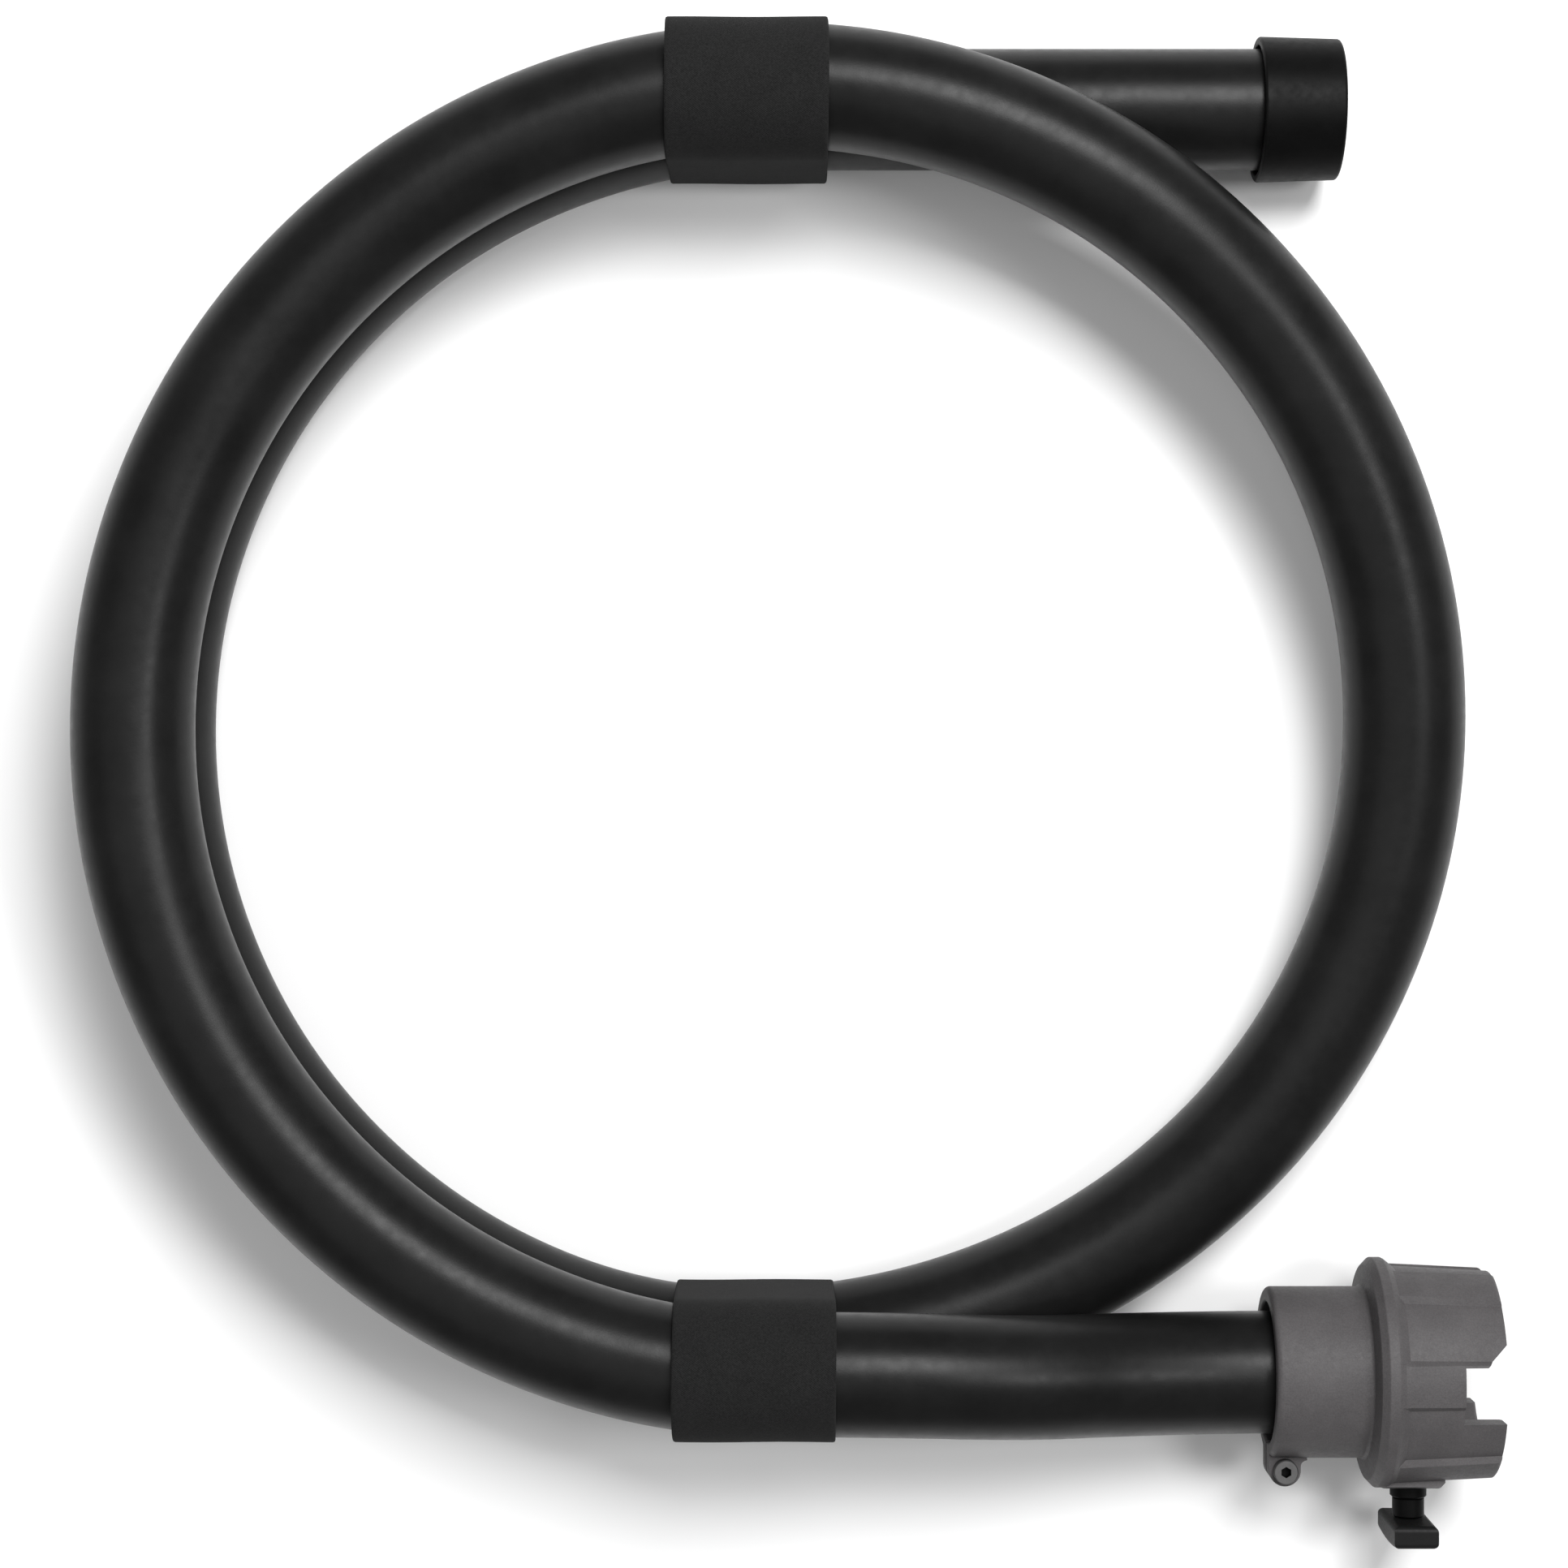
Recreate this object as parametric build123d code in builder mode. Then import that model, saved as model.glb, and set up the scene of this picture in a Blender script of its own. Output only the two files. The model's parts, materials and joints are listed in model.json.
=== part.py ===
"""Coiled suction hose with a bayonet lock coupling, a swivel cuff and two straps.

Units are millimetres. +Z is up and the hose lies on the plane Z = 0. The origin
is the bottom centre of the bounding box. The coupling and the cuff both point
along +X.
"""
import os
from math import cos, pi, radians, sin, tan

from build123d import *

# ---- hose ----
HOSE_R = 25.0
HOSE_BORE_R = 19.0
COIL_CENTRE = (-4.6, 22.7)
COIL_R = 260.3
SIDES = 16
FLOOR_Z = HOSE_R
STRAP_LIFT = 3.6
STACK = 50.7
BEND_SHARE = 0.45

# ---- coupling, its axis runs along X ----
AXIS_Y = -242.2
AXIS_Z = 47.0
COLLAR_X = 198.2
COLLAR_R = 35.0
COLLAR_LIP_ROUND = 1.2
COLLAR_ROUND = 2.4
INNER_STEP_X = 235.9
SHOULDER_X = 237.2
SHOULDER_RISE = 1.6
SHOULDER_ROUND = 1.4
RING_X = 241.7
RING_R = 47.0
RING_WIDTH = 4.0
RING_BEVEL = 3.0
RING_ROUND = 0.8
FLANK_ROUND = 1.0
MOUTH_X = 248.2
MOUTH_R = 45.7
MOUTH_END_X = 289.9
MOUTH_END_R = 43.6
MOUTH_ROUND = 2.0
MOUTH_CHAMFER = 1.0
SOCKET_R = 31.0
LAND_X = 262.0
RELIEF_R = 31.8
SEAT_X = 245.0
GASKET_T = 4.0
GASKET_LIP = 1.5
LINER_R = 27.3
COUNTERBORE_R = 28.6
COUNTERBORE_DEPTH = 6.0
SPIGOT_R = 18.9
SPIGOT_BORE_R = 16.5
SPIGOT_START_X = 202.0
SPIGOT_TAPER = 3.0
SPIGOT_NOSE = 1.0
LINER_X = 204.4
SNUG = 0.05
HOSE_FIT = 0.2
PAST = 1.0

# ---- grip panels and bayonet notches ----
PANELS = 6
PANEL_PITCH = 360 / PANELS
PANEL_CENTRE = 31.6
PANEL_DEPTH = 2.3
PANEL_HALF = 20.6
PANEL_FLOOR_HALF = 16.6
PANEL_START_X = 245.7
PANEL_START_R = 47.3
PANEL_FLOOR_X = 250.4
PANEL_RIM_R = 48.7
PANEL_RIM_HALF = 23.2
NOTCH_X = 272.4
NOTCH_LOW = -14.8
NOTCH_HIGH = 8.6
REAR_NOTCH_LOW = -17.5
REAR_NOTCH_HIGH = 11.5
LEAD_IN = 8.4

# ---- pinch clamp ----
EAR_X = 204.7
EAR_Y = -39.2
EAR_R = 6.5
EAR_HALF = 9.0
EAR_ROOT = 29.3
WEB_R = 2.6
SLIT = 2.4
SLIT_END_X = 222.0
SLIT_INNER = 26.8
SLIT_OUTER = 94.0
LINER_SLIT = 8.0
SCREW_R = 3.0
SCREW_FIT = 0.2
SCREW_HEAD_R = 5.0
SCREW_HEAD_H = 4.0
SCREW_CHAMFER = 0.4
SCREW_PAST_NUT = 1.5
HEX_FLATS = 4.0
HEX_DEPTH = 3.4
NUT_FLATS = 10.0
NUT_H = 5.0

# ---- lock plunger, its axis runs along -Y; heights are measured from the coupling's axis ----
LOCK_X = 256.9
BOSS_X = 243.4
BOSS_ROOT_R = 37.0
BOSS_EDGE_R = 46.6
BOSS_R = 47.4
BOSS_TOP_X = 245.4
BOSS_END_X = 269.4
BOSS_BEVEL = 1.8
BOSS_HALF = 20.0
BOSS_REACH = 70.0
SPOT_R = 8.6
SPOT_H = 46.6
SPOT_DEPTH = 10.0
TAP_DEPTH = 20.0
PIN_HOLE_H = 27.0
PIN_HOLE_R = 3.4
NUT_TOP_H = 51.5
JAM_NUT_R = 7.5
JAM_NUT_EDGE = 0.5
JAM_NUT_GAP = 0.2
BUSH_THREAD_R = 6.0
BUSH_R = 6.55
BUSH_EDGE = 0.7
BUSH_BASE_H = 33.5
BUSH_TOP_H = 59.7
PIN_R = 3.0
PIN_TIP = 1.0
PIN_TIP_TAPER = 1.2
PIN_TIP_H = 26.0
PIN_END_H = 66.0
PIN_FIT = 0.04
CAVITY_R = 4.7
CAVITY_BASE_H = 38.5
CAVITY_TOP_H = 56.0
SEAT_R = 4.3
SEAT_H = 39.0
SEAT_T = 2.0
WASHER_R = 4.4
WASHER_T = 0.8
SPRING_MEAN_R = 3.9
SPRING_WIRE_R = 0.35
SPRING_TURNS = 6
KNOB_BASE_H = 60.1
KNOB_TOP_H = 69.1
KNOB_CROWN = 1.3
KNOB_WIDTH = 18.1
KNOB_LENGTH = 40.0
KNOB_ROUND = 2.2
KNOB_BASE_ROUND = 2.4
CROSS_PIN_R = 1.0
CROSS_PIN_H = 63.6
CROSS_PIN_LENGTH = 16.5

# ---- cuff, its axis runs along X ----
CUFF_Y = 282.7
CUFF_Z = 30.0
CUFF_X = 196.4
CUFF_LENGTH = 34.0
CUFF_R = 30.0
CUFF_END_R = 29.0
CUFF_LIP_R = 26.6
CUFF_LIP = 8.0
CUFF_LIP_ROUND = 0.8
CUFF_ROUND = 1.2
CUFF_END_ROUND = 1.4
CUFF_GROOVE_R = 28.2
CUFF_GROOVE = 11.0
OUTLET_R = 19.05
RETAINER_R = 27.6
RETAINER_GAP = 0.4
SEAL_R = 20.0
SEAL_T = 1.8

# ---- straps ----
STRAP_INNER = 27.6
STRAP_T = 1.4
STRAP_WIDTH = 65.5
TOP_STRAP = (-16.1, 281.2)
BOTTOM_STRAP = (-13.1, -235.8)
HOOK_T = 1.6
HOOK_WIDTH = 58.0
HOOK_HEIGHT = 36.0
HOOK_CORNER = 5.0

os.makedirs("parts", exist_ok=True)


def save(piece, label):
    """Label a finished piece and write it as its own STEP file."""
    piece.label = label
    export_step(piece, f"parts/{label}.step")


def polar(radius, degrees):
    """Point at a radius and an angle in degrees."""
    return (radius * cos(radians(degrees)), radius * sin(radians(degrees)))


def turned(outline, axis_y, axis_z, rounds=()):
    """Solid of revolution about a line along X, from (x, radius) points; rounds are (point, fillet)."""
    with BuildPart() as body:
        with BuildSketch(Plane.XY.offset(axis_z)) as profile:
            with BuildLine():
                Polyline([(x, axis_y + radius) for x, radius in outline], close=True)
            make_face()
            for index, size in rounds:
                x, radius = outline[index]
                corner = profile.vertices().sort_by_distance((x, axis_y + radius, axis_z))[0]
                fillet(corner, size)
        revolve(axis=Axis((0, axis_y, axis_z), (1, 0, 0)))
    return body.part


def lock_turned(outline):
    """Solid of revolution about the lock's axis, from (radius, height) points."""
    with BuildPart() as body:
        with BuildSketch(Plane.XY.offset(AXIS_Z)):
            with BuildLine():
                Polyline([(LOCK_X + radius, AXIS_Y - height) for radius, height in outline], close=True)
            make_face()
        revolve(axis=Axis((LOCK_X, AXIS_Y, AXIS_Z), (0, -1, 0)))
    return body.part


def lock_plane(height):
    """Plane across the lock's axis at a height from the coupling's axis."""
    return Plane(origin=(LOCK_X, AXIS_Y - height, AXIS_Z), x_dir=(1, 0, 0), z_dir=(0, -1, 0))


# ---- hose: lead to the coupling, one and a half turns, lead to the cuff ----
VERTEX_R = COIL_R / cos(pi / SIDES)
STRAP_Z = FLOOR_Z + STRAP_LIFT
TOP_Z = STRAP_Z + STACK
NEAR_STRAP_Z = 26.4
LEFT_LOW = [STRAP_Z, NEAR_STRAP_Z, FLOOR_Z, FLOOR_Z, FLOOR_Z, FLOOR_Z, NEAR_STRAP_Z, STRAP_Z]
LEFT_HIGH = [height + STACK for height in LEFT_LOW]
RIGHT_DOWN = [TOP_Z, 75.6, 64.0, 50.5, 38.0, 28.8, FLOOR_Z, 27.7]
COIL_HEIGHTS = LEFT_HIGH + RIGHT_DOWN + LEFT_LOW
FIRST_ANGLE = -90 - 180 / SIDES
TUCK = {13: 1.5, 14: 4.2, 15: 4.8}

coil_points = []
for step, height in enumerate(COIL_HEIGHTS):
    x, y = polar(VERTEX_R - TUCK.get(step, 0.0), FIRST_ANGLE - step * 360 / SIDES)
    coil_points.append((COIL_CENTRE[0] + x, COIL_CENTRE[1] + y, height))

HOSE_STOP_X = 235.6
coupling_lead = [
    (HOSE_STOP_X, AXIS_Y, AXIS_Z),
    (193.0, AXIS_Y, AXIS_Z),
    (139.7, -241.8, 55.9),
    (95.4, -241.0, 70.7),
    (41.0, -238.0, TOP_Z),
]
HOSE_END_X = 213.0
cuff_lead = [(40.0, 283.0, STRAP_Z), (140.0, CUFF_Y, CUFF_Z), (HOSE_END_X, CUFF_Y, CUFF_Z)]
route = [Vector(*point) for point in coupling_lead + coil_points + cuff_lead]


def bend_radii(points):
    """Largest arc that each corner's two runs leave room for."""
    radii = []
    for before, corner, after in zip(points, points[1:], points[2:]):
        turn = (corner - before).get_angle(after - corner)
        shorter = min((corner - before).length, (after - corner).length)
        radii.append(BEND_SHARE * shorter / tan(radians(turn) / 2))
    return radii


route_radii = bend_radii(route)
with BuildPart() as hose:
    with BuildLine() as hose_line:
        FilletPolyline(*route, radius=route_radii)
    with BuildSketch(Plane(origin=route[0], z_dir=route[1] - route[0])):
        Circle(HOSE_R)
        Circle(HOSE_BORE_R, mode=Mode.SUBTRACT)
    sweep(path=hose_line.wire())
save(hose.part, "hose")

hose_length = hose_line.wire().length
section = pi * (HOSE_R**2 - HOSE_BORE_R**2)
print("hose radii", [round(radius) for radius in route_radii])
print("hose runs", [round((b - a).length) for a, b in zip(route, route[1:])])
print("hose length", round(hose_length, 1))
print("hose volume ratio", round(hose.part.volume / (section * hose_length), 5))

# ---- coupling body: split collar, shoulder ring, bayonet mouth, lock boss ----
body_outline = [
    (COLLAR_X, COUNTERBORE_R),
    (COLLAR_X, COLLAR_R),
    (SHOULDER_X, COLLAR_R),
    (SHOULDER_X + SHOULDER_RISE, RING_R - RING_BEVEL),
    (RING_X, RING_R),
    (RING_X + RING_WIDTH, RING_R),
    (MOUTH_X, MOUTH_R),
    (MOUTH_END_X, MOUTH_END_R),
    (MOUTH_END_X, SOCKET_R + MOUTH_CHAMFER),
    (MOUTH_END_X - MOUTH_CHAMFER, SOCKET_R),
    (LAND_X, SOCKET_R),
    (LAND_X - RELIEF_R + SOCKET_R, RELIEF_R),
    (SEAT_X, RELIEF_R),
    (SEAT_X, SPIGOT_R + SNUG),
    (INNER_STEP_X, SPIGOT_R + SNUG),
    (INNER_STEP_X, LINER_R),
    (COLLAR_X + COUNTERBORE_DEPTH, LINER_R),
    (COLLAR_X + COUNTERBORE_DEPTH, COUNTERBORE_R),
]
body_rounds = [
    (7, MOUTH_ROUND),
    (5, RING_ROUND),
    (4, RING_ROUND),
    (3, FLANK_ROUND),
    (2, SHOULDER_ROUND),
    (1, COLLAR_ROUND),
    (0, COLLAR_LIP_ROUND),
]
boss_outline = [
    (BOSS_X, BOSS_ROOT_R),
    (BOSS_X, BOSS_EDGE_R),
    (BOSS_TOP_X, BOSS_R),
    (BOSS_END_X - BOSS_BEVEL, BOSS_R),
    (BOSS_END_X, BOSS_R - BOSS_BEVEL),
    (BOSS_END_X, BOSS_ROOT_R),
]


def across(x):
    """Plane square to the coupling's axis at x; its local x is up and its local y is -Y."""
    return Plane(origin=(x, AXIS_Y, AXIS_Z), x_dir=(0, 0, 1), z_dir=(1, 0, 0))


def arc_points(radius, centre, half):
    """Start, middle and end of an arc about the coupling's axis, from its centre and half angle."""
    return [polar(radius, centre + half * side) for side in (-1, 0, 1)]


def grip_recess(centre):
    """Cutter for one grip panel: a curved floor with sloping side walls and a sloping back wall."""
    stations = [
        (PANEL_START_X, PANEL_START_R, PANEL_HALF),
        (PANEL_FLOOR_X, MOUTH_R - PANEL_DEPTH, PANEL_FLOOR_HALF),
        (MOUTH_END_X + PAST, MOUTH_END_R - PANEL_DEPTH, PANEL_FLOOR_HALF),
    ]
    rim = arc_points(PANEL_RIM_R, centre, PANEL_RIM_HALF)
    with BuildPart() as recess:
        for x, floor_r, half in stations:
            floor = arc_points(floor_r, centre, half)
            with BuildSketch(across(x)):
                with BuildLine():
                    ThreePointArc(*floor)
                    ThreePointArc(*rim)
                    Line(floor[0], rim[0])
                    Line(floor[2], rim[2])
                make_face()
        loft(ruled=True)
    return recess.part


def notch_outline(low, high):
    """Plan outline of a bayonet notch, with a slanted lead-in on its +Y side."""
    end_x = MOUTH_END_X + PAST
    return [
        (NOTCH_X, AXIS_Y + low),
        (end_x, AXIS_Y + low),
        (end_x, AXIS_Y + high + LEAD_IN + PAST),
        (MOUTH_END_X - LEAD_IN, AXIS_Y + high),
        (NOTCH_X, AXIS_Y + high),
    ]


body_turning = turned(body_outline, AXIS_Y, AXIS_Z, body_rounds)
recesses = [grip_recess(panel * PANEL_PITCH - PANEL_CENTRE) for panel in range(PANELS)]
boss_turning = turned(boss_outline, AXIS_Y, AXIS_Z)
with BuildPart() as boss_block:
    add(boss_turning)
    with BuildSketch(across(BOSS_X)):
        boss_sides = [polar(BOSS_REACH, 90 - BOSS_HALF), polar(BOSS_REACH, 90 + BOSS_HALF)]
        Polygon([(0, 0), *boss_sides], align=None)
    extrude(amount=BOSS_END_X - BOSS_X, mode=Mode.INTERSECT)

ear_y = AXIS_Y + EAR_Y
collar_y = AXIS_Y - COLLAR_R
ear_side_x = EAR_X + EAR_R
web_x = ear_side_x + WEB_R
web_bend = WEB_R * (1 - cos(pi / 4))
with BuildPart() as coupling_body:
    add(body_turning)
    add(recesses, mode=Mode.SUBTRACT)
    add(boss_block.part)
    # pinch ears below the collar, with a small web towards the ring
    with BuildSketch(Plane.XY.offset(AXIS_Z - EAR_HALF)):
        with BuildLine():
            root_y = AXIS_Y - EAR_ROOT
            Polyline((EAR_X - EAR_R, ear_y), (EAR_X - EAR_R, root_y), (web_x, root_y), (web_x, collar_y))
            web_middle = (ear_side_x + web_bend, collar_y - web_bend)
            ThreePointArc((web_x, collar_y), web_middle, (ear_side_x, collar_y - WEB_R))
            Line((ear_side_x, collar_y - WEB_R), (ear_side_x, ear_y))
            ThreePointArc((ear_side_x, ear_y), (EAR_X, ear_y - EAR_R), (EAR_X - EAR_R, ear_y))
        make_face()
    extrude(amount=2 * EAR_HALF)
    # pinch screw hole, and the slit that it closes
    with BuildSketch(Plane.XY.offset(AXIS_Z - EAR_HALF - PAST)):
        with Locations((EAR_X, ear_y)):
            Circle(SCREW_R + SCREW_FIT)
    extrude(amount=2 * (EAR_HALF + PAST), mode=Mode.SUBTRACT)
    with BuildSketch(Plane.XY.offset(AXIS_Z - SLIT / 2)):
        with Locations((COLLAR_X - PAST, AXIS_Y - SLIT_OUTER)):
            Rectangle(SLIT_END_X - COLLAR_X + PAST, SLIT_OUTER - SLIT_INNER, align=Align.MIN)
    extrude(amount=SLIT, mode=Mode.SUBTRACT)
    # bayonet notches, one in the upper wall and a wider one in the lower wall
    with BuildSketch(Plane.XY.offset(AXIS_Z)):
        with BuildLine():
            Polyline(notch_outline(NOTCH_LOW, NOTCH_HIGH), close=True)
        make_face()
    extrude(amount=2 * COLLAR_R, mode=Mode.SUBTRACT)
    with BuildSketch(Plane.XY.offset(AXIS_Z)):
        with BuildLine():
            Polyline(notch_outline(REAR_NOTCH_LOW, REAR_NOTCH_HIGH), close=True)
        make_face()
    extrude(amount=-2 * COLLAR_R, mode=Mode.SUBTRACT)
    # spot face, tapped hole and pin hole of the lock
    with BuildSketch(lock_plane(SPOT_H)):
        Circle(SPOT_R)
    extrude(amount=SPOT_DEPTH, mode=Mode.SUBTRACT)
    with BuildSketch(lock_plane(BUSH_BASE_H)):
        Circle(BUSH_THREAD_R + SNUG)
    extrude(amount=TAP_DEPTH, mode=Mode.SUBTRACT)
    with BuildSketch(lock_plane(PIN_HOLE_H)):
        Circle(PIN_HOLE_R)
    extrude(amount=BUSH_BASE_H - PIN_HOLE_H + PAST, mode=Mode.SUBTRACT)
save(coupling_body.part, "coupling_body")

# ---- hose tail pieces inside the coupling ----
spigot_outline = [
    (SPIGOT_START_X, SPIGOT_BORE_R),
    (SPIGOT_START_X, SPIGOT_R - SPIGOT_NOSE),
    (SPIGOT_START_X + SPIGOT_TAPER, SPIGOT_R),
    (SEAT_X, SPIGOT_R),
    (SEAT_X, SPIGOT_BORE_R),
]
save(turned(spigot_outline, AXIS_Y, AXIS_Z), "hose_spigot")

liner_outline = [
    (LINER_X, HOSE_R + HOSE_FIT),
    (LINER_X, LINER_R - SNUG),
    (HOSE_STOP_X, LINER_R - SNUG),
    (HOSE_STOP_X, HOSE_R + HOSE_FIT),
]
liner_turning = turned(liner_outline, AXIS_Y, AXIS_Z)
with BuildPart() as clamp_liner:
    add(liner_turning)
    with BuildSketch(Plane.XY.offset(AXIS_Z - SLIT / 2)):
        with Locations(((LINER_X + HOSE_STOP_X) / 2, AXIS_Y - LINER_R)):
            Rectangle(HOSE_STOP_X - LINER_X + PAST, LINER_SLIT)
    extrude(amount=SLIT, mode=Mode.SUBTRACT)
save(clamp_liner.part, "clamp_liner")

gasket_outline = [
    (SEAT_X, SPIGOT_R + GASKET_LIP),
    (SEAT_X, RELIEF_R - SNUG),
    (SEAT_X + GASKET_T, RELIEF_R - SNUG),
    (SEAT_X + GASKET_T, SPIGOT_R + 2 * GASKET_LIP),
    (SEAT_X + GASKET_T - GASKET_LIP, SPIGOT_R + GASKET_LIP),
]
save(turned(gasket_outline, AXIS_Y, AXIS_Z), "socket_gasket")

# ---- pinch screw and nut ----
HEAD_BASE = Plane(origin=(EAR_X, ear_y, AXIS_Z + EAR_HALF))
EAR_BASE = Plane(origin=(EAR_X, ear_y, AXIS_Z - EAR_HALF))
with BuildPart() as pinch_screw:
    with BuildSketch(HEAD_BASE):
        Circle(SCREW_HEAD_R)
    extrude(amount=SCREW_HEAD_H)
    chamfer(pinch_screw.edges().group_by(Axis.Z)[-1], SCREW_CHAMFER)
    with BuildSketch(HEAD_BASE):
        Circle(SCREW_R)
    extrude(amount=-2 * EAR_HALF - NUT_H - SCREW_PAST_NUT)
    chamfer(pinch_screw.edges().group_by(Axis.Z)[0], SCREW_CHAMFER)
    with BuildSketch(HEAD_BASE.offset(SCREW_HEAD_H)):
        RegularPolygon(HEX_FLATS / 2, 6, major_radius=False, rotation=30)
    extrude(amount=-HEX_DEPTH, mode=Mode.SUBTRACT)
save(pinch_screw.part, "pinch_screw")

with BuildPart() as pinch_nut:
    with BuildSketch(EAR_BASE):
        RegularPolygon(NUT_FLATS / 2, 6, major_radius=False)
        Circle(SCREW_R + SNUG, mode=Mode.SUBTRACT)
    extrude(amount=-NUT_H)
save(pinch_nut.part, "pinch_nut")

# ---- lock plunger ----
PIN_BORE_R = PIN_R + PIN_FIT
bush_outline = [
    (PIN_BORE_R, BUSH_BASE_H),
    (BUSH_THREAD_R, BUSH_BASE_H),
    (BUSH_THREAD_R, NUT_TOP_H),
    (BUSH_R, NUT_TOP_H + BUSH_R - BUSH_THREAD_R),
    (BUSH_R, BUSH_TOP_H - BUSH_EDGE),
    (BUSH_R - BUSH_EDGE, BUSH_TOP_H),
    (PIN_BORE_R, BUSH_TOP_H),
    (PIN_BORE_R, CAVITY_TOP_H),
    (CAVITY_R, CAVITY_TOP_H),
    (CAVITY_R, CAVITY_BASE_H),
    (PIN_BORE_R, CAVITY_BASE_H),
]
save(lock_turned(bush_outline), "lock_bush")

JAM_NUT_TOP_H = NUT_TOP_H - JAM_NUT_GAP
jam_nut_outline = [
    (BUSH_THREAD_R + SNUG, SPOT_H),
    (JAM_NUT_R - JAM_NUT_EDGE, SPOT_H),
    (JAM_NUT_R, SPOT_H + JAM_NUT_EDGE),
    (JAM_NUT_R, JAM_NUT_TOP_H - JAM_NUT_EDGE),
    (JAM_NUT_R - JAM_NUT_EDGE, JAM_NUT_TOP_H),
    (BUSH_THREAD_R + SNUG, JAM_NUT_TOP_H),
]
save(lock_turned(jam_nut_outline), "jam_nut")

pin_outline = [
    (0, PIN_TIP_H),
    (PIN_R - PIN_TIP, PIN_TIP_H),
    (PIN_R, PIN_TIP_H + PIN_TIP_TAPER),
    (PIN_R, SEAT_H),
    (SEAT_R, SEAT_H),
    (SEAT_R, SEAT_H + SEAT_T),
    (PIN_R, SEAT_H + SEAT_T),
    (PIN_R, PIN_END_H),
    (0, PIN_END_H),
]
pin_turning = lock_turned(pin_outline)


def cross_hole(length):
    """Round bar through the knob and the pin, across the lock's axis, centred on that axis."""
    with BuildPart() as bar:
        with BuildSketch(Plane.YZ.offset(LOCK_X - length / 2)):
            with Locations((AXIS_Y - CROSS_PIN_H, AXIS_Z)):
                Circle(CROSS_PIN_R)
        extrude(amount=length)
    return bar.part


cross_bar = cross_hole(CROSS_PIN_LENGTH)
with BuildPart() as lock_pin:
    add(pin_turning)
    add(cross_bar, mode=Mode.SUBTRACT)
save(lock_pin.part, "lock_pin")

WASHER_H = SEAT_H + SEAT_T + SNUG
washer_outline = [
    (PIN_BORE_R, WASHER_H),
    (WASHER_R, WASHER_H),
    (WASHER_R, WASHER_H + WASHER_T),
    (PIN_BORE_R, WASHER_H + WASHER_T),
]
save(lock_turned(washer_outline), "spring_washer")

SPRING_BASE_H = WASHER_H + WASHER_T + SPRING_WIRE_R
SPRING_LENGTH = CAVITY_TOP_H - SPRING_WIRE_R - SPRING_BASE_H
with BuildPart() as lock_spring:
    with BuildLine() as coil_line:
        Helix(
            pitch=SPRING_LENGTH / SPRING_TURNS,
            height=SPRING_LENGTH,
            radius=SPRING_MEAN_R,
            center=(LOCK_X, AXIS_Y - SPRING_BASE_H, AXIS_Z),
            direction=(0, -1, 0),
        )
    with BuildSketch(Plane(origin=coil_line.wire() @ 0, z_dir=coil_line.wire() % 0)):
        Circle(SPRING_WIRE_R)
    sweep(path=coil_line.wire(), is_frenet=True)
save(lock_spring.part, "lock_spring")

inner_y = AXIS_Y - KNOB_BASE_H
outer_y = AXIS_Y - KNOB_TOP_H
low_z = AXIS_Z - KNOB_LENGTH / 2
high_z = AXIS_Z + KNOB_LENGTH / 2
with BuildPart() as lock_knob:
    with BuildSketch(Plane.YZ.offset(LOCK_X - KNOB_WIDTH / 2)):
        with BuildLine():
            Polyline((outer_y, low_z), (inner_y, low_z), (inner_y, high_z), (outer_y, high_z))
            ThreePointArc((outer_y, high_z), (outer_y - KNOB_CROWN, AXIS_Z), (outer_y, low_z))
        make_face()
    extrude(amount=KNOB_WIDTH)
    fillet(lock_knob.faces().sort_by(Axis.Y)[0].edges(), KNOB_ROUND)
    fillet(lock_knob.faces().sort_by(Axis.Y)[-1].edges(), KNOB_BASE_ROUND)
    with BuildSketch(lock_plane(KNOB_BASE_H)):
        Circle(PIN_R + SNUG)
    extrude(amount=PIN_END_H - KNOB_BASE_H + SNUG, mode=Mode.SUBTRACT)
    add(cross_bar, mode=Mode.SUBTRACT)
save(lock_knob.part, "lock_knob")
save(cross_bar, "cross_pin")

# ---- swivel cuff, the ring that holds it on the hose, and its face seal ----
GROOVE_X = CUFF_X + CUFF_LIP
GROOVE_END_X = GROOVE_X + CUFF_GROOVE
CUFF_END_X = CUFF_X + CUFF_LENGTH
cuff_outline = [
    (CUFF_X, CUFF_LIP_R),
    (CUFF_X, CUFF_R),
    (CUFF_END_X, CUFF_END_R),
    (CUFF_END_X, OUTLET_R),
    (GROOVE_END_X, OUTLET_R),
    (GROOVE_END_X, CUFF_GROOVE_R),
    (GROOVE_X, CUFF_GROOVE_R),
    (GROOVE_X, CUFF_LIP_R),
]
cuff_rounds = [(3, CUFF_LIP_ROUND), (2, CUFF_END_ROUND), (1, CUFF_ROUND), (0, CUFF_LIP_ROUND)]
save(turned(cuff_outline, CUFF_Y, CUFF_Z, cuff_rounds), "cuff")

retainer_outline = [
    (GROOVE_X + RETAINER_GAP, HOSE_R + SNUG),
    (GROOVE_X + RETAINER_GAP, RETAINER_R),
    (HOSE_END_X, RETAINER_R),
    (HOSE_END_X, HOSE_R + SNUG),
]
save(turned(retainer_outline, CUFF_Y, CUFF_Z), "cuff_retainer")

seal_outline = [
    (HOSE_END_X, SEAL_R),
    (HOSE_END_X, RETAINER_R),
    (HOSE_END_X + SEAL_T, RETAINER_R),
    (HOSE_END_X + SEAL_T, SEAL_R),
]
save(turned(seal_outline, CUFF_Y, CUFF_Z), "cuff_seal")

# ---- straps: a band round the two stacked passes of the hose, closed by a hook patch ----
STRAP_OUTER = STRAP_INNER + STRAP_T
STRAP_MID_Z = STRAP_OUTER + STACK / 2


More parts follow.
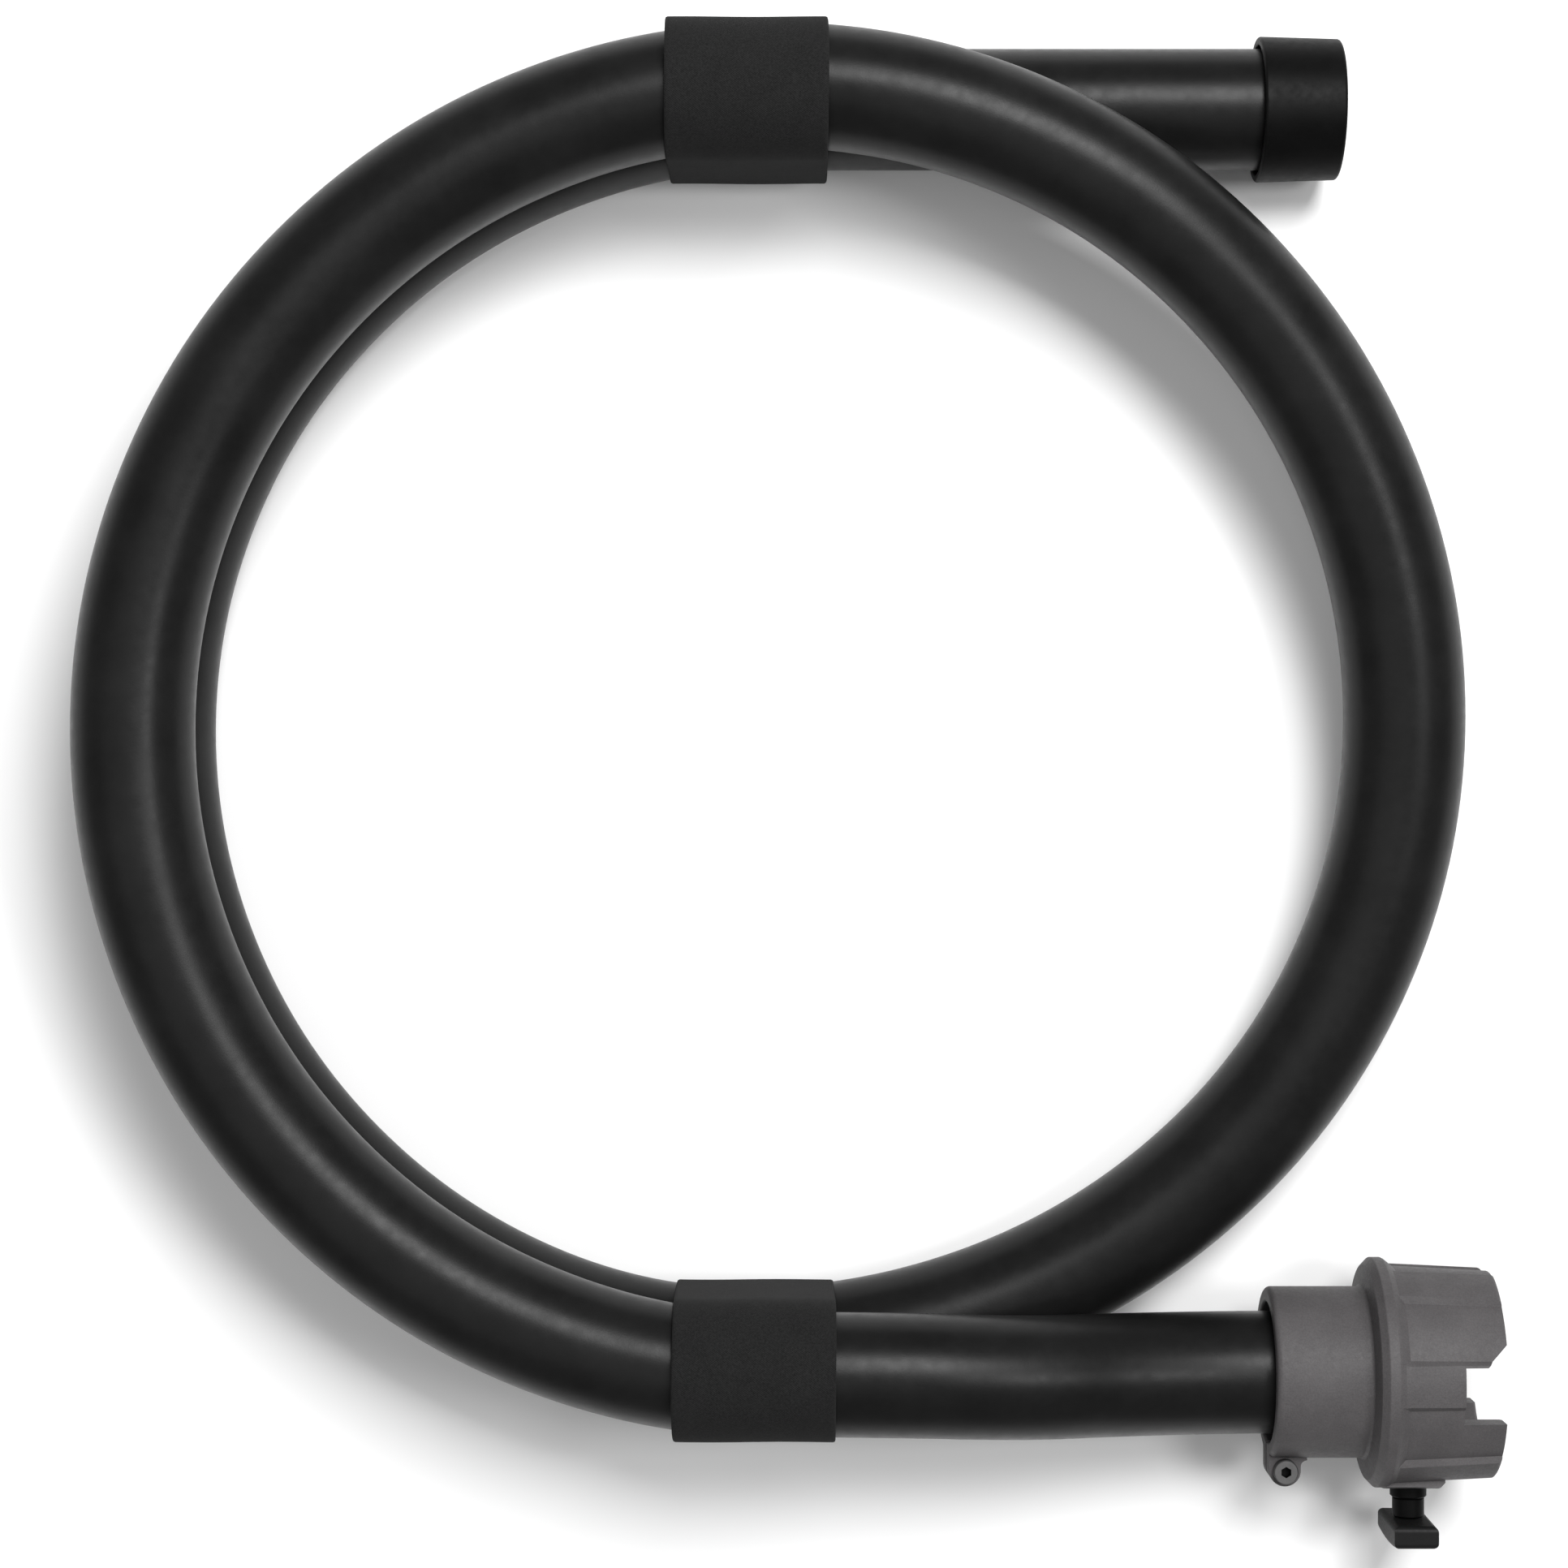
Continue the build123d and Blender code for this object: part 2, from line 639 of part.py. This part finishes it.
def strap_band(strap):
    """Band with two straight sides and two half-round ends, extruded along the hose."""
    start = (strap[0] - STRAP_WIDTH / 2, strap[1], STRAP_MID_Z)
    with BuildPart() as band:
        with BuildSketch(Plane(origin=start, x_dir=(0, 1, 0), z_dir=(1, 0, 0))):
            SlotCenterToCenter(STACK, 2 * STRAP_OUTER, rotation=90)
            SlotCenterToCenter(STACK, 2 * STRAP_INNER, rotation=90, mode=Mode.SUBTRACT)
        extrude(amount=STRAP_WIDTH)
    return band.part


def hook_patch(strap, side):
    """Patch with round corners on a straight side of the band, on the side away from the coil."""
    middle = (strap[0], strap[1] + side * STRAP_OUTER, STRAP_MID_Z)
    with BuildPart() as patch:
        with BuildSketch(Plane(origin=middle, x_dir=(1, 0, 0), z_dir=(0, side, 0))):
            RectangleRounded(HOOK_WIDTH, HOOK_HEIGHT, HOOK_CORNER)
        extrude(amount=HOOK_T)
    return patch.part


save(strap_band(TOP_STRAP), "strap_top")
save(hook_patch(TOP_STRAP, 1), "strap_top_patch")
save(strap_band(BOTTOM_STRAP), "strap_bottom")
save(hook_patch(BOTTOM_STRAP, -1), "strap_bottom_patch")
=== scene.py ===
"""Looks for the coiled suction hose: rubber tube, fabric straps, cast coupling and cuff.

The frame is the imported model's: +X along the coupling, +Z up.
Sizes of the hose and straps are in millimetres and MM turns them into metres.
Camera, lights and textures are in metres.
"""
import json
from math import cos, pi, radians, sin

import bpy
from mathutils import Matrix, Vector


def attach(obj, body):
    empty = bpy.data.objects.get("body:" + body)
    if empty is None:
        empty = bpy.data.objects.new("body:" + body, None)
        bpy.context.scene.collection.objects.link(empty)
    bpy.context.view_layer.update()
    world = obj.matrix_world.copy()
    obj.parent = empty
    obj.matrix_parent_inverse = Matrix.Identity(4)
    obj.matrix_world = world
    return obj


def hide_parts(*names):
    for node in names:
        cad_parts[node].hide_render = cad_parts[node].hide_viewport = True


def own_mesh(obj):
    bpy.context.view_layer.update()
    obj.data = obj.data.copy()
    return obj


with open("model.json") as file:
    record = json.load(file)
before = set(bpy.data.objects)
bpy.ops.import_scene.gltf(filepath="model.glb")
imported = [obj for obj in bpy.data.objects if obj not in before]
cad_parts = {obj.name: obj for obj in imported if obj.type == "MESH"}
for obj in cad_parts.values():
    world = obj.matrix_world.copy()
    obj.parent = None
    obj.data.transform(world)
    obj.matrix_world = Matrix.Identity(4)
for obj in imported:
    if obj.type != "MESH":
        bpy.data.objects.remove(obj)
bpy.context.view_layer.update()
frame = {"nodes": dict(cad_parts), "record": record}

MM = 0.001
ROOT = "hose_coil"

# ---- camera: straight above the coil ----
CAMERA_PLACE = (-0.0011, 0.0007, 1.475)
LENS = 79.3
SENSOR = 36.0
CLIP_END = 20.0

camera_data = bpy.data.cameras.new("camera")
camera_data.lens = LENS
camera_data.sensor_width = SENSOR
camera_data.clip_end = CLIP_END
camera = bpy.data.objects.new("camera", camera_data)
camera.location = CAMERA_PLACE
bpy.context.collection.objects.link(camera)
bpy.context.scene.camera = camera
bpy.context.scene.view_settings.view_transform = "Standard"

# ---- route of the hose: the same control points as the CAD tube ----
HOSE_R = 25.0
HOSE_BORE_R = 19.0
COIL_CENTRE = (-4.6, 22.7)
COIL_R = 260.3
SIDES = 16
FLOOR_Z = HOSE_R
STRAP_LIFT = 3.6
STACK = 50.7
AXIS_Y = -242.2
AXIS_Z = 47.0
CUFF_Y = 282.7
CUFF_Z = 30.0

VERTEX_R = COIL_R / cos(pi / SIDES)
STRAP_Z = FLOOR_Z + STRAP_LIFT
TOP_Z = STRAP_Z + STACK
NEAR_STRAP_Z = 26.4
LEFT_LOW = [STRAP_Z, NEAR_STRAP_Z, FLOOR_Z, FLOOR_Z, FLOOR_Z, FLOOR_Z, NEAR_STRAP_Z, STRAP_Z]
LEFT_HIGH = [height + STACK for height in LEFT_LOW]
RIGHT_DOWN = [TOP_Z, 75.6, 64.0, 50.5, 38.0, 28.8, FLOOR_Z, 27.7]
COIL_HEIGHTS = LEFT_HIGH + RIGHT_DOWN + LEFT_LOW
FIRST_ANGLE = -90 - 180 / SIDES
TUCK = {13: 1.5, 14: 4.2, 15: 4.8}

coil_points = []
for step, height in enumerate(COIL_HEIGHTS):
    angle = radians(FIRST_ANGLE - step * 360 / SIDES)
    reach = VERTEX_R - TUCK.get(step, 0.0)
    coil_points.append((COIL_CENTRE[0] + reach * cos(angle), COIL_CENTRE[1] + reach * sin(angle), height))

coupling_lead = [
    (235.6, AXIS_Y, AXIS_Z),
    (193.0, AXIS_Y, AXIS_Z),
    (139.7, -241.8, 55.9),
    (95.4, -241.0, 70.7),
    (41.0, -238.0, TOP_Z),
]
cuff_lead = [(40.0, 283.0, STRAP_Z), (140.0, CUFF_Y, CUFF_Z), (213.0, CUFF_Y, CUFF_Z)]
ROUTE = [Vector(point) * MM for point in coupling_lead + coil_points + cuff_lead]


def new_object(name, data):
    """Object for some data, linked to the scene."""
    piece = bpy.data.objects.new(name, data)
    bpy.context.collection.objects.link(piece)
    return piece


def mesh_object(name, vertices, faces, uvs=None, smooth=True):
    """Mesh object from plain lists; uvs holds one pair for each face corner, in order."""
    mesh = bpy.data.meshes.new(name)
    mesh.from_pydata([tuple(v) for v in vertices], [], faces)
    if uvs:
        layer = mesh.uv_layers.new(name="uv")
        for loop, pair in zip(layer.data, uvs):
            loop.uv = pair
    mesh.validate()
    mesh.update()
    mesh.polygons.foreach_set("use_smooth", [smooth] * len(mesh.polygons))
    return new_object(name, mesh)


def smooth_route(points, steps):
    """Points along the NURBS spline of order 3 that has these control points."""
    data = bpy.data.curves.new("route", "CURVE")
    data.dimensions = "3D"
    spline = data.splines.new("NURBS")
    spline.points.add(len(points) - 1)
    for control, point in zip(spline.points, points):
        control.co = (*point, 1.0)
    spline.order_u = 3
    spline.use_endpoint_u = True
    spline.resolution_u = steps
    guide = new_object("route", data)
    bpy.context.view_layer.update()
    line = bpy.data.meshes.new_from_object(guide)
    points_read = [v.co.copy() for v in line.vertices]
    bpy.data.meshes.remove(line)
    bpy.data.objects.remove(guide)
    bpy.data.curves.remove(data)
    return points_read


def tangents(line):
    """Unit direction of a line of points at each of them."""
    ends = [line[0]] + line + [line[-1]]
    return [(after - before).normalized() for before, after in zip(ends, ends[2:])]


AROUND = 96
ROUTE_STEPS = 16
path = smooth_route(ROUTE, ROUTE_STEPS)


def hose_mesh():
    """Hollow hose as one closed skin: outer wall, end rims and bore, on frames carried without twist."""
    frames = []
    side = Vector((0, 1, 0))
    for point, direction in zip(path, tangents(path)):
        side = (side - direction * side.dot(direction)).normalized()
        frames.append((point, side.copy(), side.cross(direction)))
    middle_r = (HOSE_R + HOSE_BORE_R) / 2
    rows = [(frame_at, HOSE_R) for frame_at in frames]
    rows.append((frames[-1], middle_r))
    rows += [(frame_at, HOSE_BORE_R) for frame_at in reversed(frames)]
    rows.append((frames[0], middle_r))
    turns = [2 * pi * k / AROUND for k in range(AROUND)]
    vertices = []
    runs = [0.0]
    for row, ((point, across, up), radius) in enumerate(rows):
        vertices += [point + (across * cos(turn) + up * sin(turn)) * radius * MM for turn in turns]
        following = rows[(row + 1) % len(rows)][0][0]
        runs.append(runs[-1] + (following - point).length)
    faces = []
    uvs = []
    for row in range(len(rows)):
        here = row * AROUND
        there = (row + 1) % len(rows) * AROUND
        for k in range(AROUND):
            beside = (k + 1) % AROUND
            faces.append((here + k, there + k, there + beside, here + beside))
            low = k / AROUND
            high = (k + 1) / AROUND
            uvs += [(runs[row], low), (runs[row + 1], low), (runs[row + 1], high), (runs[row], high)]
    return mesh_object("hose_tube", vertices, faces, uvs)


hose = hose_mesh()
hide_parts("hose")
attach(hose, ROOT)

# ---- straps: bands of webbing round the two stacked passes ----
STRAP_WIDTH = 65.5
STRAP_INNER = 27.6
STRAP_T = 1.4
BAND_R = STRAP_INNER + STRAP_T
BAND_ARC = pi * BAND_R
BAND_LENGTH = 2 * (STACK + BAND_ARC)
TOP_STRAP = (-16.1, 281.2)
BOTTOM_STRAP = (-13.1, -235.8)
BAND_AROUND = 240
BAND_ACROSS = 44

# selvedge: width of the rounded rim, height of its lower corner, and inset of its two corners
RIM = 1.0
RIM_LOW = 0.35
RIM_INSET = 0.25
FOOT_INSET = 0.3

# unevenness of a worn band
SETTLE = 0.14
RIPPLE = 0.12
RIPPLE_WAVES = 5
RIPPLE_SLANT = 0.11
INNER_SHARE = 0.4
INNER_BELOW = 0.5
DRIFT = 0.18
DRIFT_WAVES = 3
DRIFT_SHIFT = 2.7
FLOOR_GAP = 0.05


def band_point(turn, offset):
    """Point (y, z) and outward normal on the band's racetrack; turn runs from 0 to 1."""
    run = turn * BAND_LENGTH
    radius = STRAP_INNER + offset
    if run < STACK:
        return (radius, BAND_R + run), (1.0, 0.0)
    run -= STACK
    if run < BAND_ARC:
        a = run / BAND_ARC * pi
        return (radius * cos(a), BAND_R + STACK + radius * sin(a)), (cos(a), sin(a))
    run -= BAND_ARC
    if run < STACK:
        return (-radius, BAND_R + STACK - run), (-1.0, 0.0)
    a = pi + (run - STACK) / BAND_ARC * pi
    return (radius * cos(a), BAND_R + radius * sin(a)), (cos(a), sin(a))


def strap_section():
    """Outline of the band's cut: (place across, height above the inner face), with rounded selvedges."""
    left = [(0.0, RIM_LOW), (RIM_INSET, STRAP_T - RIM_LOW)]
    top = [(RIM + (STRAP_WIDTH - 2 * RIM) * k / BAND_ACROSS, STRAP_T) for k in range(BAND_ACROSS + 1)]
    right = [(STRAP_WIDTH - RIM_INSET, STRAP_T - RIM_LOW), (STRAP_WIDTH, RIM_LOW)]
    foot = [(STRAP_WIDTH - FOOT_INSET, 0.0), (FOOT_INSET, 0.0)]
    return left + top + right + foot


def strap_mesh(name, centre, seed):
    """Woven band with soft selvedges and a faint ripple; centre is its middle (x, y)."""
    section = strap_section()
    size = len(section)
    vertices = []
    for j in range(BAND_AROUND):
        turn = j / BAND_AROUND
        drift = DRIFT * sin(2 * pi * (DRIFT_WAVES * turn + DRIFT_SHIFT * seed))
        for across, offset in section:
            (y, z), (ny, nz) = band_point(turn, offset)
            share = 1 if offset > INNER_BELOW else INNER_SHARE
            wave = sin(2 * pi * (RIPPLE_WAVES * turn + seed) + across * RIPPLE_SLANT)
            lift = RIPPLE * wave * share - SETTLE
            x = centre[0] - STRAP_WIDTH / 2 + across + drift
            vertices.append(Vector((x, centre[1] + y + ny * lift, max(z + nz * lift, FLOOR_GAP))) * MM)
    faces = []
    uvs = []
    for j in range(BAND_AROUND):
        following = (j + 1) % BAND_AROUND
        v0 = j / BAND_AROUND * BAND_LENGTH * MM
        v1 = (j + 1) / BAND_AROUND * BAND_LENGTH * MM
        for k in range(size):
            beside = (k + 1) % size
            u0 = section[k][0] * MM
            u1 = section[beside][0] * MM
            faces.append((j * size + k, j * size + beside, following * size + beside, following * size + k))
            uvs += [(u0, v0), (u1, v0), (u1, v1), (u0, v1)]
    return mesh_object(name, vertices, faces, uvs)


straps = []
for node, centre, seed in [("strap_top", TOP_STRAP, 0.13), ("strap_bottom", BOTTOM_STRAP, 0.58)]:
    band = strap_mesh(f"{node}_web", centre, seed)
    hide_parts(node)
    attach(band, ROOT)
    straps.append(band)

# ---- lock spring: a copy of the CAD spring's mesh with its own data, attached to the coil ----
spring_coil = new_object("lock_spring_coil", frame["nodes"]["lock_spring"].data.copy())
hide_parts("lock_spring")
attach(spring_coil, ROOT)
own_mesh(spring_coil)


# ---- materials ----
# sockets of a Mix node in its colour mode, whose names are shared with its other modes
MIX_FIRST = 6
MIX_SECOND = 7
MIX_RESULT = 2


class Nodes:
    """Short helper that builds one node material."""

    def __init__(self, name):
        self.material = bpy.data.materials.new(name)
        self.material.use_nodes = True
        self.tree = self.material.node_tree
        self.shader = self.tree.nodes["Principled BSDF"]

    def add(self, kind, **settings):
        """Adds a node; settings with an uppercase start set inputs, others set attributes."""
        node = self.tree.nodes.new(kind)
        for key, value in settings.items():
            if key[0].isupper():
                node.inputs[key.replace("_", " ")].default_value = value
            else:
                setattr(node, key, value)
        return node

    def link(self, source, output, target, socket):
        self.tree.links.new(source.outputs[output], target.inputs[socket])

    def math(self, operation, source, output, value):
        """Math node of a linked value and a plain number, or of two linked values."""
        node = self.add("ShaderNodeMath", operation=operation)
        self.link(source, output, node, 0)
        if isinstance(value, tuple):
            self.link(*value, node, 1)
        else:
            node.inputs[1].default_value = value
        return node

    def noise(self, where, scale, detail=4.0, roughness=0.6):
        """Noise texture in object coordinates."""
        node = self.add("ShaderNodeTexNoise", Scale=scale, Detail=detail, Roughness=roughness)
        self.link(where, "Object", node, "Vector")
        return node

    def ramp(self, source, output, stops):
        """Colour ramp from (place, grey or colour) stops."""
        node = self.add("ShaderNodeValToRGB")
        for element, (place, value) in zip(node.color_ramp.elements, stops):
            element.position = place
            colour = value if isinstance(value, tuple) else (value, value, value)
            element.color = (*colour, 1.0)
        self.link(source, output, node, "Fac")
        return node

    def blend(self, first, first_output, first_share, second, second_output, second_share):
        """Weighted sum of two values."""
        scaled = self.math("MULTIPLY", first, first_output, first_share)
        total = self.math("MULTIPLY_ADD", second, second_output, second_share)
        self.link(scaled, "Value", total, 2)
        return total

    def bump(self, heights):
        """Bump from (node, output, strength, distance) layers, chained one on another."""
        last = None
        for node, output, strength, distance in heights:
            layer = self.add("ShaderNodeBump", Strength=strength, Distance=distance)
            self.link(node, output, layer, "Height")
            if last:
                self.link(last, "Normal", layer, "Normal")
            last = layer
        self.link(last, "Normal", self.shader, "Normal")

    def constants(self, **values):
        """Sets plain numbers on the shader's own sockets."""
        for key, value in values.items():
            self.shader.inputs[key.replace("_", " ")].default_value = value


def rubber(name, dark, light, rough, mottle=34.0, grain=1400.0, specular=0.5):
    """Black rubber with bloom patches, fine grain and slightly uneven gloss."""
    m = Nodes(name)
    where = m.add("ShaderNodeTexCoord")
    patches = m.noise(where, mottle, detail=5.0, roughness=0.62)
    fine = m.noise(where, grain, detail=3.0, roughness=0.7)
    smears = m.noise(where, mottle * 5.5, roughness=0.55)
    colour = m.ramp(patches, "Fac", [(0.30, dark), (0.72, light)])
    m.link(colour, "Color", m.shader, "Base Color")
    gloss = m.ramp(smears, "Fac", [(0.30, rough[0]), (0.72, rough[1])])
    m.link(gloss, "Color", m.shader, "Roughness")
    m.bump([(fine, "Fac", 0.20, 0.00012), (smears, "Fac", 0.06, 0.0006)])
    m.constants(Specular_IOR_Level=specular)
    return m.material


def casting(name, dark, light, grain=1500.0):
    """Powder-coated casting: fine orange peel, sand grain and a clouded tone."""
    m = Nodes(name)
    where = m.add("ShaderNodeTexCoord")
    cloud = m.noise(where, 60.0, detail=5.0)
    grit = m.noise(where, grain, roughness=0.75)
    peel = m.noise(where, grain * 0.35, detail=3.0)
    mixed = m.blend(cloud, "Fac", 0.35, grit, "Fac", 0.65)
    colour = m.ramp(mixed, "Value", [(0.36, dark), (0.64, light)])
    m.link(colour, "Color", m.shader, "Base Color")
    gloss = m.ramp(peel, "Fac", [(0.3, 0.46), (0.75, 0.62)])
    m.link(gloss, "Color", m.shader, "Roughness")
    m.bump([(peel, "Fac", 0.22, 0.0005), (grit, "Fac", 0.30, 0.0002)])
    m.constants(Specular_IOR_Level=0.18)
    return m.material


def socket_shade_mask(m, where, place, radius, depth):
    """Mask of the painted shade: 1 inside an upright round recess that starts this depth under place, and 0
    elsewhere.
    """
    from_top = m.add("ShaderNodeVectorMath", operation="SUBTRACT")
    m.link(where, "Object", from_top, 0)
    from_top.inputs[1].default_value = place
    split = m.add("ShaderNodeSeparateXYZ")
    m.link(from_top, "Vector", split, "Vector")
    flat = m.add("ShaderNodeCombineXYZ")
    m.link(split, "X", flat, "X")
    m.link(split, "Y", flat, "Y")
    reach = m.add("ShaderNodeVectorMath", operation="LENGTH")
    m.link(flat, "Vector", reach, 0)
    near = m.math("LESS_THAN", reach, "Value", radius)
    below = m.math("LESS_THAN", split, "Z", -depth)
    return m.math("MULTIPLY", near, "Value", (below, "Value"))


def steel(name, tone, rough=(0.30, 0.44), socket=None):
    """Satin steel with turning marks and a faint film; socket (place, radius, depth) marks a round recess
    that gets near-black painted shade.
    """
    m = Nodes(name)
    where = m.add("ShaderNodeTexCoord")
    film = m.noise(where, 240.0, detail=5.0)
    marks = m.noise(where, 2600.0, detail=2.0, roughness=0.5)
    colour = m.ramp(film, "Fac", [(0.3, tuple(0.82 * c for c in tone)), (0.75, tone)])
    if socket:
        # painted shade: inside the screw's hex recess the base colour is near black, standing in for the
        # shade that falls there
        socket_painted_shade = m.add("ShaderNodeMix", data_type="RGBA")
        m.link(socket_shade_mask(m, where, *socket), "Value", socket_painted_shade, "Factor")
        m.link(colour, "Color", socket_painted_shade, MIX_FIRST)
        socket_painted_shade.inputs[MIX_SECOND].default_value = (0.004, 0.004, 0.004, 1.0)
        m.link(socket_painted_shade, MIX_RESULT, m.shader, "Base Color")
    else:
        m.link(colour, "Color", m.shader, "Base Color")
    gloss = m.ramp(film, "Fac", [(0.3, rough[0]), (0.75, rough[1])])
    m.link(gloss, "Color", m.shader, "Roughness")
    m.bump([(marks, "Fac", 0.12, 0.00008)])
    m.constants(Metallic=0.9)
    return m.material


def plastic(name, dark, light, rough=(0.42, 0.58), grain=900.0, specular=0.5):
    """Moulded plastic with a spark-eroded grain."""
    m = Nodes(name)
    where = m.add("ShaderNodeTexCoord")
    cloud = m.noise(where, 90.0)
    texture = m.noise(where, grain, roughness=0.7)
    colour = m.ramp(cloud, "Fac", [(0.3, dark), (0.75, light)])
    m.link(colour, "Color", m.shader, "Base Color")
    gloss = m.ramp(texture, "Fac", [(0.3, rough[0]), (0.75, rough[1])])
    m.link(gloss, "Color", m.shader, "Roughness")
    m.bump([(texture, "Fac", 0.25, 0.0002)])
    m.constants(Specular_IOR_Level=specular)
    return m.material


def webbing(name, dark, light, pitch=0.0011):
    """Woven band: warp and weft ribs from the mesh's own coordinates, with fuzz and uneven dye."""
    m = Nodes(name)
    where = m.add("ShaderNodeTexCoord")
    split = m.add("ShaderNodeSeparateXYZ")
    m.link(where, "UV", split, "Vector")
    ribs = []
    for axis, size in (("X", pitch), ("Y", pitch * 0.8)):
        phase = m.math("MULTIPLY", split, axis, 2 * pi / size)
        rib = m.add("ShaderNodeMath", operation="SINE")
        m.link(phase, "Value", rib, 0)
        ribs.append(rib)
    weave = m.math("MULTIPLY", ribs[0], "Value", (ribs[1], "Value"))
    fuzz = m.noise(where, 1250.0, roughness=0.75)
    dye = m.noise(where, 75.0, detail=5.0)
    tone = m.blend(weave, "Value", 0.10, dye, "Fac", 0.15)
    speck = m.blend(tone, "Value", 1.0, fuzz, "Fac", 0.85)
    colour = m.ramp(speck, "Value", [(0.34, dark), (0.66, light)])
    m.link(colour, "Color", m.shader, "Base Color")
    m.bump([(weave, "Value", 0.35, 0.00025), (fuzz, "Fac", 0.45, 0.0003)])
    m.constants(Roughness=0.9, Sheen_Weight=0.02, Sheen_Roughness=0.5, Specular_IOR_Level=0.06)
    return m.material


# painted shade in the pinch screw's hex socket: top of the head, radius of the dark disc, and the depth
# under the top where it starts
SCREW_TOP = (0.2047, -0.2814, 0.0600)
SCREW_HEX_R = 0.0024
SCREW_HEX_DEPTH = 0.00015
SCREW_SOCKET_SHADE = (SCREW_TOP, SCREW_HEX_R, SCREW_HEX_DEPTH)
RECIPES = {
    "hose_rubber": (rubber, {"dark": 0.0050, "light": 0.0092, "rough": (0.31, 0.39), "specular": 0.15}),
    "cuff_rubber": (
        rubber,
        {
            "dark": 0.0020,
            "light": 0.0037,
            "rough": (0.42, 0.52),
            "mottle": 60.0,
            "grain": 1100.0,
            "specular": 0.07,
        },
    ),
    "seal_rubber": (
        rubber,
        {"dark": 0.0050, "light": 0.0090, "rough": (0.50, 0.62), "mottle": 120.0, "specular": 0.2},
    ),
    "cast_metal": (casting, {"dark": (0.060, 0.0565, 0.058), "light": (0.092, 0.0870, 0.089)}),
    "bare_metal": (steel, {"tone": (0.50, 0.50, 0.51)}),
    # this steel carries painted shade in the pinch screw's hex socket
    "steel": (steel, {"tone": (0.125, 0.123, 0.123), "rough": (0.40, 0.54), "socket": SCREW_SOCKET_SHADE}),
    "black_metal": (
        plastic,
        {"dark": 0.0022, "light": 0.0038, "rough": (0.42, 0.54), "grain": 1500.0, "specular": 0.06},
    ),
    "knob_plastic": (plastic, {"dark": 0.0072, "light": 0.0110, "rough": (0.40, 0.54), "specular": 0.12}),
    "cuff_plastic": (plastic, {"dark": 0.0100, "light": 0.0150, "specular": 0.2}),
    "strap_web": (webbing, {"dark": 0.0085, "light": 0.0200}),
    "strap_hook": (webbing, {"dark": 0.0090, "light": 0.0180, "pitch": 0.0016}),
}
MATERIALS = {name: make(name, **values) for name, (make, values) in RECIPES.items()}
SLOT_OF = {row["node"]: row["material_slot"] for row in frame["record"]["subparts"]}


def finish_with(piece, slot):
    """Gives a piece one material."""
    piece.data.materials.clear()
    piece.data.materials.append(MATERIALS[slot])


finish_with(hose, "hose_rubber")
for band in straps:
    finish_with(band, "strap_web")
finish_with(spring_coil, "steel")
for node, piece in frame["nodes"].items():
    for index in range(len(piece.material_slots)):
        piece.material_slots[index].material = MATERIALS[SLOT_OF[node]]

# ---- floor and light ----
FLOOR_HALF = 6.0
FLOOR_CORNERS = [(-1, -1), (1, -1), (1, 1), (-1, 1)]
AMBIENT = 0.28
KEY_LIGHT = {"place": (0.55, 1.05, 2.3), "size": 1.0, "power": 65.0}
SIDE_LIGHT = {"place": (1.35, 0.05, 2.3), "size": 0.55, "power": 16.0}
FILL_LIGHT = {"place": (-0.9, -0.5, 2.4), "size": 2.4, "power": 14.0}

floor_vertices = [(x * FLOOR_HALF, y * FLOOR_HALF, 0) for x, y in FLOOR_CORNERS]
floor = mesh_object("floor", floor_vertices, [(0, 1, 2, 3)], smooth=False)
floor_look = Nodes("floor")
floor_where = floor_look.add("ShaderNodeTexCoord")
floor_cloud = floor_look.noise(floor_where, 3.0)
floor_colour = floor_look.ramp(floor_cloud, "Fac", [(0.3, 0.90), (0.7, 0.93)])
floor_look.link(floor_colour, "Color", floor_look.shader, "Base Color")
floor_look.constants(Roughness=0.9, Specular_IOR_Level=0.1)
floor.data.materials.append(floor_look.material)

world = bpy.data.worlds.new("world")
world.use_nodes = True
world.node_tree.nodes["Background"].inputs["Color"].default_value = (1.0, 1.0, 1.0, 1.0)
world.node_tree.nodes["Background"].inputs["Strength"].default_value = AMBIENT
bpy.context.scene.world = world


def softbox(name, place, size, power):
    """Square area light aimed at the middle of the floor."""
    data = bpy.data.lights.new(name, "AREA")
    data.shape = "SQUARE"
    data.size = size
    data.energy = power
    lamp = new_object(name, data)
    lamp.location = place
    lamp.rotation_euler = (-Vector(place)).to_track_quat("-Z", "Y").to_euler()


softbox("key", **KEY_LIGHT)
softbox("side", **SIDE_LIGHT)
softbox("fill", **FILL_LIGHT)
